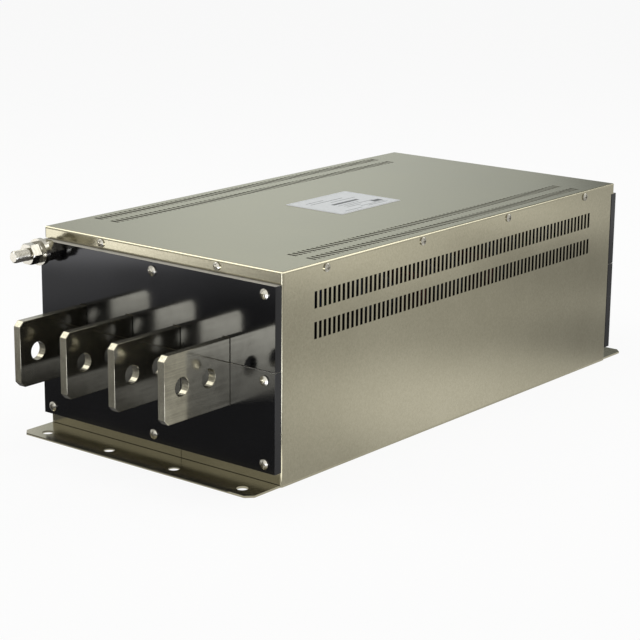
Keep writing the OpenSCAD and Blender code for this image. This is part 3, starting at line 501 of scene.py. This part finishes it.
# Glass mat pressed with red polyester: its brick red darkened by a painted shade, slightly mottled.
red_board = grained("red_polyester_glass_board", "#4A140E", "#5C1C14", 0.45, 3, **PLASTIC)
# A cured lacquer over the circuit board: dark green with a half gloss.
green_board = grained("green_solder_mask", "#0E3A1A", "#154A24", 0.35, 6, **PLASTIC)
# Moulded boxes: the one warm bright colour inside.
yellow_case = grained("yellow_polypropylene_case", "#C88F1C", "#DCA32C", 0.4, 5, **PLASTIC)
# Dipped while warm: deep blue, with the rounded gloss of a bead.
blue_case = grained("blue_epoxy_dip", "#10294F", "#183768", 0.35, 4, **PLASTIC)
# Coated with cement: chalky, with no shine at all.
resistor_body = grained("cement_coat", "#9C8E6E", "#B4A684", 0.75, 1, **PLASTIC)
inside = (core_case, bearer_board, red_board, green_board, yellow_case, blue_case, resistor_body)
print("made", ", ".join(finish.name for finish in inside))

# %% [markdown]
# ## Black board
# The end panels are laminated board, pressed between polished plates. The face mirrors the bars and
# screws that stand on it, only dimly, as any gloss plastic does. The press leaves a slight upright
# ripple, which breaks up the images' edges. The sawn edges that face up or down are painted pale, a
# painted highlight for the top edges that catch the light from above, and the upright edges stay black.
# The upper plates keep their polish and the lower ones are rubbed duller by handling, so there are two
# finishes. A clear coat would add a second mirror that a pressed board doesn't have.

# %% Materials: polished and rubbed board
BOARD_CLOUD_MM = 60  # the faint shading over a pressed face
EDGE_FACING = 0.6  # the least share of a face's direction that points up or down on a sawn edge
RIPPLE_MM, UP_THE_BOARD, RIPPLE_DEPTH = 1.8, 0.04, 0.02 * MM  # wider than the real ripple, to show
BOARD = {**PLASTIC, "uniform": {"Specular IOR Level": 0.35}}


def laminate(name, roughness):
    """Black laminated board: sawn edges facing up or down painted pale as a painted highlight, and pressed
    faces with a slight upright ripple.
    """
    board = grained(name, "#060607", "#09090B", roughness, BOARD_CLOUD_MM, **BOARD)
    tree = board.node_tree
    shader = tree.nodes["Principled BSDF"]
    black = shader.inputs["Base Color"].links[0].from_socket
    own = add_node(tree, "ShaderNodeTexCoord").outputs
    facing = add_node(tree, "ShaderNodeSeparateXYZ", {0: own["Normal"]}).outputs
    upward = add_node(tree, "ShaderNodeMath", {0: facing["Z"]}, operation="ABSOLUTE")
    sawn = add_node(tree, "ShaderNodeMath", {0: upward.outputs[0], 1: EDGE_FACING}, operation="GREATER_THAN")
    # Sawn edges that face up or down are painted pale, a painted highlight for the lit top edges.
    painted_edge_highlight = add_node(tree, "ShaderNodeMix", {0: sawn.outputs[0], COLOUR_A: black,
                                             COLOUR_B: linear("#B9B6AE")}, data_type="RGBA")
    tree.links.new(painted_edge_highlight.outputs[COLOUR_OUT], shader.inputs["Base Color"])
    upright = add_node(tree, "ShaderNodeMapping", {"Vector": own["Object"], "Scale": (1, 1, UP_THE_BOARD)})
    ripple = add_node(tree, "ShaderNodeTexNoise",
                      {"Vector": upright.outputs[0], "Scale": per_metre(RIPPLE_MM), "Detail": 2})
    wavy = add_node(tree, "ShaderNodeBump",
                    {"Height": ripple.outputs[0], "Strength": 0.3, "Distance": RIPPLE_DEPTH})
    tree.links.new(wavy.outputs[0], shader.inputs["Normal"])
    return board


# Fresh from the press: a near-black gloss with clear, dim images.
polished_board = laminate("polished_black_phenolic_board", 0.10)
# Handled and wiped: as black, but the images are soft.
rubbed_board = laminate("rubbed_black_phenolic_board", 0.2)
print("made", polished_board.name, "and", rubbed_board.name)

# %% [markdown]
# ## The rating label
# A label of silver film is glued to the lid. To the eye it is a pale, even field, brighter and flatter
# than the plating round it. Its print is left generic: a thin frame, ruled lines where rows of words
# would be, and one heavier bar for a heading. Here is where each printed field lies.

# %% Material: printed silver film, and the fields of its print
PRINT = [  # middle x, middle y, half width x, half length y, all mm from the label's middle
    (0.5, 2, 2.4, 21), (-16, -8, 0.6, 26), (-22, -20, 0.6, 14), (-9, 10, 0.5, 20), (8, -2, 0.5, 17),
    (13, 8, 0.5, 24), (18, -6, 0.5, 12), (24, 18, 0.5, 20), (28, 22, 0.5, 16), (18, 32, 3.5, 7),
    (29, -20, 0.5, 14), (-34.5, 0, 0.2, 47), (34.5, 0, 0.2, 47), (0, -47, 34.5, 0.2), (0, 47, 34.5, 0.2),
]
label_film = grained("printed_silver_label_film", "#C9CBCC", "#D6D8D9", 0.45, 3, **PLASTIC)
label_low, label_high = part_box("label")
label_middle = (label_low + label_high) / 2
print(len(PRINT), "printed fields")

# %% [markdown]
# ## Ink on the label
# The print is drawn in the material, as rectangles in the lid's own millimetres: a point is inside one
# when it is nearer to its middle than half its size, both ways. That stays crisp at any distance and
# needs no image file. Thin raised blocks would work too, but real ink has no height that shows.

# %% The ink
tree = label_film.node_tree
shader = tree.nodes["Principled BSDF"]
film = shader.inputs["Base Color"].links[0].from_socket
place = add_node(tree, "ShaderNodeTexCoord").outputs["Object"]
inked = add_node(tree, "ShaderNodeValue").outputs[0]
for x, y, half_x, half_y in PRINT:
    middle = (label_middle.x + x * MM, label_middle.y + y * MM, 0)
    offset = add_node(tree, "ShaderNodeVectorMath", {0: place, 1: middle}, operation="SUBTRACT")
    offset = add_node(tree, "ShaderNodeVectorMath", {0: offset.outputs[0]}, operation="ABSOLUTE")
    offset = add_node(tree, "ShaderNodeVectorMath", {0: offset.outputs[0], 1: (half_x * MM, half_y * MM, 1)},
                      operation="SUBTRACT")
    past = add_node(tree, "ShaderNodeSeparateXYZ", {0: offset.outputs[0]}).outputs
    farther = add_node(tree, "ShaderNodeMath", {0: past["X"], 1: past["Y"]}, operation="MAXIMUM")
    inside = add_node(tree, "ShaderNodeMath", {0: farther.outputs[0], 1: 0}, operation="LESS_THAN")
    inked = add_node(tree, "ShaderNodeMath", {0: inked, 1: inside.outputs[0]}, operation="MAXIMUM").outputs[0]
printed = add_node(tree, "ShaderNodeMix", {0: inked, COLOUR_A: film, COLOUR_B: linear("#4A4C50")},
                   data_type="RGBA")
tree.links.new(printed.outputs[COLOUR_OUT], shader.inputs["Base Color"])
print("ink in", len(tree.nodes), "nodes")

# %% [markdown]
# ## Every CAD node gets its finish
# The CAD says for each piece what it is made of, by the name of a slot. A table turns that name into a
# finish, so a piece added later gets its look by itself. The strips behind the seams and the fastenings
# inside get a near black painted shade instead, so seams and slots stay dark. Materials could also be
# picked piece by piece, but with fifty pieces one would be missed.

# %% Give every CAD node its finish
FINISH_OF_SLOT = {
    "steel_sheet": sheet, "plated_hardware": bright_nickel, "black_panel": polished_board,
    "tinned_copper": tinned_copper, "bare_copper": bare_copper, "brass_spacer": turned_brass,
    "core_case": core_case, "bearer_board": bearer_board, "red_board": red_board,
    "green_board": green_board, "yellow_case": yellow_case, "blue_case": blue_case,
    "resistor_body": resistor_body, "label_film": label_film,
}
# These parts get the near black painted shade in place of their own finish, so seams and slots stay dark.
IN_PAINTED_SHADE = ("seam_strips", "core_clamps", "support_angles", "support_straps", "lid_nuts", "panel_nuts",
                "bond_screws", "bond_nuts", "support_screws", "board_screws")
slot_of = {part["node"]: part["material_slot"] for part in frame["record"]["subparts"]}
for node, thing in frame["nodes"].items():
    finish = painted_shade_black if node in IN_PAINTED_SHADE else FINISH_OF_SLOT[slot_of[node]]
    for holder in thing.material_slots:
        holder.material = finish
print("finished", len(slot_of), "nodes")

# %% [markdown]
# ## One piece at a time
# The pieces that carry the light on their edges are modelled again, as by hand. An operator acts on all
# that is selected, so each step first selects its one piece. A finished piece keeps its place in its
# mesh, with its object at the origin, as the CAD's pieces do. Data could be edited without operators,
# but the operators are what the menus run, so the steps can be repeated by hand.

# %% Choosing and settling a piece
def alone(thing):
    """Selects just this object."""
    drop_selection()
    thing.select_set(True)
    bpy.context.view_layer.objects.active = thing
    return thing


def settle(thing):
    """Puts the object's place, turn and size into its mesh."""
    alone(thing)
    bpy.ops.object.transform_apply(location=True, rotation=True, scale=True)
    return thing


def on_all_of(piece, operator, **settings):
    """Runs one edit mode operator on the whole piece."""
    alone(piece)
    bpy.ops.object.mode_set(mode="EDIT")
    bpy.ops.mesh.select_all(action="SELECT")
    operator(**settings)
    bpy.ops.object.mode_set(mode="OBJECT")
    return piece


print("active now:", alone(floor).name)

# %% [markdown]
# ## Blocks and rods
# Bar, plate and rod are what a workshop starts from, so each new piece starts as a block between two
# corners or as a rod along an axis. A block takes its corners from the CAD twin's own box, which keeps
# the two the same size. Its size is set on the object and then settled into the mesh. Moving the eight
# corners one by one would end at the same block, with more to get wrong.

# %% Blocks and rods
ALONG = {"x": (0, radians(90), 0), "y": (radians(90), 0, 0), "z": (0, 0, 0)}
ROUND_SIDES, FINE_SIDES = 64, 96


def add_block(low, high):
    """A box between two corners."""
    drop_selection()
    bpy.ops.mesh.primitive_cube_add(size=1, location=(Vector(low) + Vector(high)) / 2)
    bpy.context.object.scale = Vector(high) - Vector(low)
    return settle(bpy.context.object)


def add_rod(middle, axis, length, radius, sides=ROUND_SIDES):
    """A round rod about its middle along an axis."""
    drop_selection()
    bpy.ops.mesh.primitive_cylinder_add(vertices=sides, radius=radius, depth=length, location=middle,
                                        rotation=ALONG[axis])
    return settle(bpy.context.object)


print("rods lie along", ", ".join(ALONG))

# %% [markdown]
# ## Cutting
# Saw, drill and cutter are all one tool here: a shape that is taken away from the piece, as a Boolean
# modifier that is applied at once. The same tool can keep only what two shapes share, or add one to the
# other. A hole could be bridged by hand between two faces, but then each hole would be a job of its own.

# %% Cutting
def carve(piece, tools, operation="DIFFERENCE"):
    """Cuts the tools out of the piece, or keeps only what they share, or adds them."""
    for tool in tools:
        alone(piece)
        modifier = piece.modifiers.new("carve", "BOOLEAN")
        modifier.operation, modifier.object = operation, tool
        bpy.ops.object.modifier_apply(modifier=modifier.name)
        bpy.data.objects.remove(tool)
    return piece


print("the cutter knows DIFFERENCE, INTERSECT and UNION")

# %% [markdown]
# ## Clipping corners and breaking edges
# A corner that is clipped on purpose is picked by where it is and which way it runs. After all cutting,
# every sharp edge left is broken with a narrow bevel, and those slopes are what catches the light. A
# subdivision surface could round the edges too, but it would pull the flat faces out of true.

# %% Clipping corners and breaking edges
EDGE_ANGLE_DEG, SMOOTH_ANGLE_DEG = 25, 12


def bevel_where(piece, wanted, width):
    """Bevels the edges for which wanted(middle, direction) is true."""
    alone(piece)
    bpy.ops.object.mode_set(mode="EDIT")
    bpy.ops.mesh.select_mode(type="EDGE")
    bpy.ops.mesh.select_all(action="DESELECT")
    shape = bmesh.from_edit_mesh(piece.data)
    for edge in shape.edges:
        start, end = (corner.co for corner in edge.verts)
        edge.select_set(wanted((start + end) / 2, (end - start).normalized()))
    bmesh.update_edit_mesh(piece.data)
    bpy.ops.mesh.bevel(offset=width, segments=1, affect="EDGES")
    bpy.ops.object.mode_set(mode="OBJECT")
    return piece


def break_edges(piece, width):
    """Takes the sharpness off every edge with a narrow bevel. Only curved walls are shaded smooth."""
    alone(piece)
    modifier = piece.modifiers.new("edges", "BEVEL")
    modifier.width, modifier.segments = width, 2
    modifier.limit_method, modifier.angle_limit = "ANGLE", radians(EDGE_ANGLE_DEG)
    bpy.ops.object.modifier_apply(modifier=modifier.name)
    bpy.ops.object.shade_smooth_by_angle(angle=radians(SMOOTH_ANGLE_DEG))
    return piece


print("edges over", EDGE_ANGLE_DEG, "degrees are broken")

# %% [markdown]
# ## Copies, names and places
# What repeats is made once and copied, and the load end is the line end's mirror image. Mirroring turns
# a mesh inside out, so every copy has its faces turned outwards again. Each finished piece then takes
# the place of its CAD twin and rides on the same body. An instance would save memory, but the pieces
# have to be separate solids.

# %% Copies, names and places
def copy_of(piece, step=(0, 0, 0), mirrored=False):
    """A copy with its own mesh, moved by step or mirrored to the load end."""
    alone(piece)
    bpy.ops.object.duplicate(linked=False)
    copy = bpy.context.object
    copy.location += Vector(step)
    if mirrored:
        copy.scale.y = -1
    return on_all_of(settle(copy), bpy.ops.mesh.normals_make_consistent, inside=False)


def stands_for(piece, name, finish, node):
    """Names the piece, gives it its finish and lets it take the place of a CAD node."""
    piece.name = piece.data.name = name
    piece.data.materials.clear()
    piece.data.materials.append(finish)
    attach(piece, "root")
    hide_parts(node)
    print(name, len(piece.data.polygons), "faces")


print("pieces so far", len(frame["nodes"]))

# %% [markdown]
# ## Busbars
# Each bar is a length of flat copper bar, sawn off, its four corners clipped, drilled twice at each end
# for terminal bolts, then tinned. The drills leave a sharp rim, so the edges are broken. A bar could be
# extruded from a drawn outline, but a block with clipped corners and drilled holes is how a shop makes it.

# %% Busbar, made once
HOLE_D, HOLE_FROM_TIP, HOLE_STEP = 17.5 * MM, 22.5 * MM, 35 * MM
CORNER_CLIP, BAR_EDGE = 4.9 * MM, 0.4 * MM
THROUGH = 20 * MM  # a cutter of this length passes through a bar or a plate
PARALLEL = 0.99  # the least share of an edge's direction that makes it parallel to an axis

bar_low, bar_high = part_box("busbar_l1")
bar_middle = (bar_low + bar_high) / 2
bar = add_block(bar_low, bar_high)
bevel_where(bar, lambda place, way: abs(way.x) > PARALLEL, CORNER_CLIP)
hole_places = [bar_high.y - HOLE_FROM_TIP - hole * HOLE_STEP for hole in (0, 1)]
carve(bar, [add_rod((bar_middle.x, end * y, bar_middle.z), "x", THROUGH, HOLE_D / 2)
            for end in (-1, 1) for y in hole_places])
break_edges(bar, BAR_EDGE)
print("bar", [round(size / MM, 1) for size in bar.dimensions], "mm")

# %% [markdown]
# ## Four bars in a row
# All four bars are alike, three for the phases and one for neutral. The other three are copies of the
# first, each moved from the first one's corner to its own CAD twin's corner, so the spacing is written
# nowhere twice. An array would space them evenly, but it would make one piece of four.

# %% The other three bars
bars = {"busbar_l1": bar}
for node in ("busbar_l2", "busbar_l3", "busbar_n"):
    bars[node] = copy_of(bar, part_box(node)[0] - bar_low)
for node, piece in bars.items():
    stands_for(piece, "tinned_" + node, tinned_copper, node)

# %% [markdown]
# ## Where the panels are drilled
# Each end is closed by two plates, one above the other. The lower one has five holes for screws, and the
# upper one two, with a wider one for the earth stud in the corner that would be its third. The
# places are measured across from the middle of the housing and up from its base.

# %% The holes in the panels
SCREW_HOLE_D, STUD_HOLE_D = 5.5 * MM, 12.5 * MM
SCREW_X, SCREW_LOW_Z, SCREW_MID_Z, SCREW_HIGH_Z = 135.7 * MM, 22.3 * MM, 100.3 * MM, 179.8 * MM
STUD_X, STUD_Z = -SCREW_X, SCREW_HIGH_Z
DRILLED = {  # node: x, z and diameter of each hole
    "front_panel_lower": [(x, SCREW_LOW_Z, SCREW_HOLE_D) for x in (-SCREW_X, 0, SCREW_X)]
    + [(x, SCREW_MID_Z, SCREW_HOLE_D) for x in (-SCREW_X, SCREW_X)],
    "front_panel_upper": [(0, SCREW_HIGH_Z, SCREW_HOLE_D), (SCREW_X, SCREW_HIGH_Z, SCREW_HOLE_D),
                          (STUD_X, STUD_Z, STUD_HOLE_D)],
}
print(sum(len(holes) for holes in DRILLED.values()), "holes at each end")

# %% [markdown]
# ## Insulating panels
# The plates are milled from black board and notched where the bars pass. The cutter leaves square edges
# that are broken by hand, and those narrow slopes catch the light. One end is milled and the other is
# its mirror image, as two parts from one drawing would be.

# %% Panel plates
NOTCH_ROOM, PLATE_EDGE = 0.3 * MM, 0.5 * MM

room = Vector((NOTCH_ROOM, 0, NOTCH_ROOM))
for node, holes in DRILLED.items():
    low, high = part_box(node)
    plate = add_block(low, high)
    cutters = []
    for bar_node in bars:
        bar_from, bar_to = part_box(bar_node)
        cutters.append(add_block(bar_from - room, bar_to + room))
    cutters += [add_rod((x, (low.y + high.y) / 2, z), "y", THROUGH, d / 2) for x, z, d in holes]
    carve(plate, cutters)
    break_edges(plate, PLATE_EDGE)
    back = copy_of(plate, mirrored=True)
    board = rubbed_board if "lower" in node else polished_board
    stands_for(plate, "board_" + node, board, node)
    back_node = node.replace("front", "rear")
    stands_for(back, "board_" + back_node, board, back_node)

# %% [markdown]
# ## Hexagons
# Nuts and screw heads are slices of hexagon bar whose corners are turned down at both faces. The eye
# reads that by the curved lines where the turned slope meets the flats. So the hexagon is cut to what
# it shares with a round blank whose rims are bevelled, which gives the same curves as a lathe. A bevel
# on the hexagon's own corners would give straight lines.

# %% A turned hexagon
ACROSS_FLATS, CORNER_DROP = 19 * MM, 1.1 * MM
HALF_SIDE = radians(30)  # half the turn from one of the six corners to the next
BLANK_ROOM = 1.002  # the blank is a hair wider than the hexagon's corners
SAME_HEIGHT, LEVEL = 0.01 * MM, 0.1  # how close counts as the same height, and as level


def rim(at_z):
    """Picks the level edges of a turned piece at this height."""
    return lambda place, way: abs(place.z - at_z) < SAME_HEIGHT and abs(way.z) < LEVEL


def add_hexagon(height):
    """A hexagon from z = 0 up, corners towards the sides, with both faces turned down at the corners."""
    corner = ACROSS_FLATS / 2 / cos(HALF_SIDE)
    drop_selection()
    bpy.ops.mesh.primitive_cylinder_add(vertices=6, radius=corner, depth=height, location=(0, 0, height / 2),
                                        rotation=(0, 0, HALF_SIDE))
    hexagon = settle(bpy.context.object)
    blank = add_rod((0, 0, height / 2), "z", height, corner * BLANK_ROOM, FINE_SIDES)
    for face in (0, height):
        bevel_where(blank, rim(face), CORNER_DROP)
    return carve(hexagon, [blank], "INTERSECT")


print("hexagons", ACROSS_FLATS / MM, "mm across flats")

# %% [markdown]
# ## Nuts on the earth studs
# Two nuts hold each earth stud: one against the panel, and one outside that clamps the cable's lug
# between the washers. They are made lying on the bench, bored, and then stood on the stud's axis. All
# four are one piece in the CAD, so they are joined here too.

# %% Nuts on the earth studs
NUT_H, BORE_D, NUT_EDGE = 10.8 * MM, 12.1 * MM, 0.25 * MM


def stand_out(piece, y):
    """Turns a piece made along z to stand out of the line end, its foot at y on the stud's axis."""
    piece.rotation_euler = (radians(90), 0, 0)
    piece.location = (STUD_X, y, STUD_Z)
    return settle(piece)


nut = add_hexagon(NUT_H)
carve(nut, [add_rod((0, 0, NUT_H / 2), "z", 2 * NUT_H, BORE_D / 2)])
break_edges(nut, NUT_EDGE)
panel_face_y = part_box("front_panel_upper")[0].y
outer_face_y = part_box("stud_nuts")[0].y
stand_out(nut, outer_face_y + NUT_H)
nuts = [nut, copy_of(nut, (0, panel_face_y - outer_face_y - NUT_H, 0))]
nuts += [copy_of(piece, mirrored=True) for piece in nuts]
alone(nut)
for piece in nuts:
    piece.select_set(True)
bpy.ops.object.join()
stands_for(bpy.context.object, "earth_stud_nuts", bright_nickel, "stud_nuts")

# %% [markdown]
# ## Thread of the earth studs
# The stud is a hexagon screw put in from inside. Its thread is a real helix: the profile of one turn is
# drawn from a single point by extruding it out, up, in and up again, and the Screw modifier sweeps it
# up the axis. A row of plain rings would look alike from afar but not at the tip, where the start of
# the helix shows.

# %% Thread of the earth stud
HEAD_H, PITCH, CREST_R, ROOT_R = 7.5 * MM, 1.75 * MM, 5.95 * MM, 5.0 * MM
FLANK_OUT = CREST_R - ROOT_R
PROFILE = ((FLANK_OUT, 0.40), (0, 0.12), (-FLANK_OUT, 0.40), (0, 0.08))  # out in metres, up in pitches
TURNS_BELOW, SPARE_TURNS, STEPS_A_TURN = 3, 5, 32

stud_low, stud_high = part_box("earth_stud_front")
shank = stud_high.y - HEAD_H - stud_low.y
drop_selection()
bpy.ops.mesh.primitive_plane_add(size=MM)
stud = bpy.context.object
bpy.ops.object.mode_set(mode="EDIT")
bpy.ops.mesh.select_mode(type="VERT")
bpy.ops.mesh.select_all(action="SELECT")
bpy.ops.mesh.merge(type="CENTER")
bpy.ops.transform.translate(value=(ROOT_R, 0, -TURNS_BELOW * PITCH))
for out, up in PROFILE:
    bpy.ops.mesh.extrude_region_move(TRANSFORM_OT_translate={"value": (out, 0, up * PITCH)})
bpy.ops.object.mode_set(mode="OBJECT")
sweep = stud.modifiers.new("thread", "SCREW")
sweep.axis, sweep.angle, sweep.screw_offset = "Z", radians(360), PITCH
sweep.iterations = int(shank / PITCH) + SPARE_TURNS
sweep.steps = sweep.render_steps = STEPS_A_TURN
alone(stud)
bpy.ops.object.modifier_apply(modifier=sweep.name)
on_all_of(stud, bpy.ops.mesh.remove_doubles, threshold=SAME_HEIGHT)
print("thread", len(stud.data.polygons), "faces")

# %% [markdown]
# ## Tip and head of the earth studs
# The helix is cut off and closed at both ends, and its tip is sloped by what it shares with a bevelled
# blank, as a turned rod has it before the die runs over it. The head is one more hexagon, added on. The
# far stud is this one turned half round, because a mirror image would have a left-hand thread.

# %% Cut the thread to length, slope its tip and add the head
TIP_SLOPE, BLANK_OVER = 1.7 * MM, 0.3 * MM
INTO_HEAD, PAST_TIP = 1 * MM, 0.5 * MM
THREAD_SMOOTH_DEG, CUT_CLOSENESS = 20, 0.001 * MM

for cut_z, away in ((-INTO_HEAD, -1), (shank + PAST_TIP, 1)):
    on_all_of(stud, bpy.ops.mesh.bisect, plane_co=(0, 0, cut_z), plane_no=(0, 0, away), use_fill=True,
              clear_outer=True, threshold=CUT_CLOSENESS)
on_all_of(stud, bpy.ops.mesh.normals_make_consistent, inside=False)
blank = add_rod((0, 0, shank / 2 - INTO_HEAD), "z", shank + 2 * INTO_HEAD, CREST_R + BLANK_OVER)
bevel_where(blank, rim(shank), TIP_SLOPE)
carve(stud, [blank], "INTERSECT")
head = add_hexagon(HEAD_H)
head.location.z = -HEAD_H
carve(stud, [settle(head)], "UNION")
bpy.ops.object.shade_smooth_by_angle(angle=radians(THREAD_SMOOTH_DEG))
stand_out(stud, stud_low.y + shank)
back_stud = copy_of(stud)
back_stud.rotation_euler.z = radians(180)
back_stud.location.x = 2 * STUD_X
settle(back_stud)
stands_for(stud, "threaded_earth_stud_front", bright_nickel, "earth_stud_front")
stands_for(back_stud, "threaded_earth_stud_rear", bright_nickel, "earth_stud_rear")
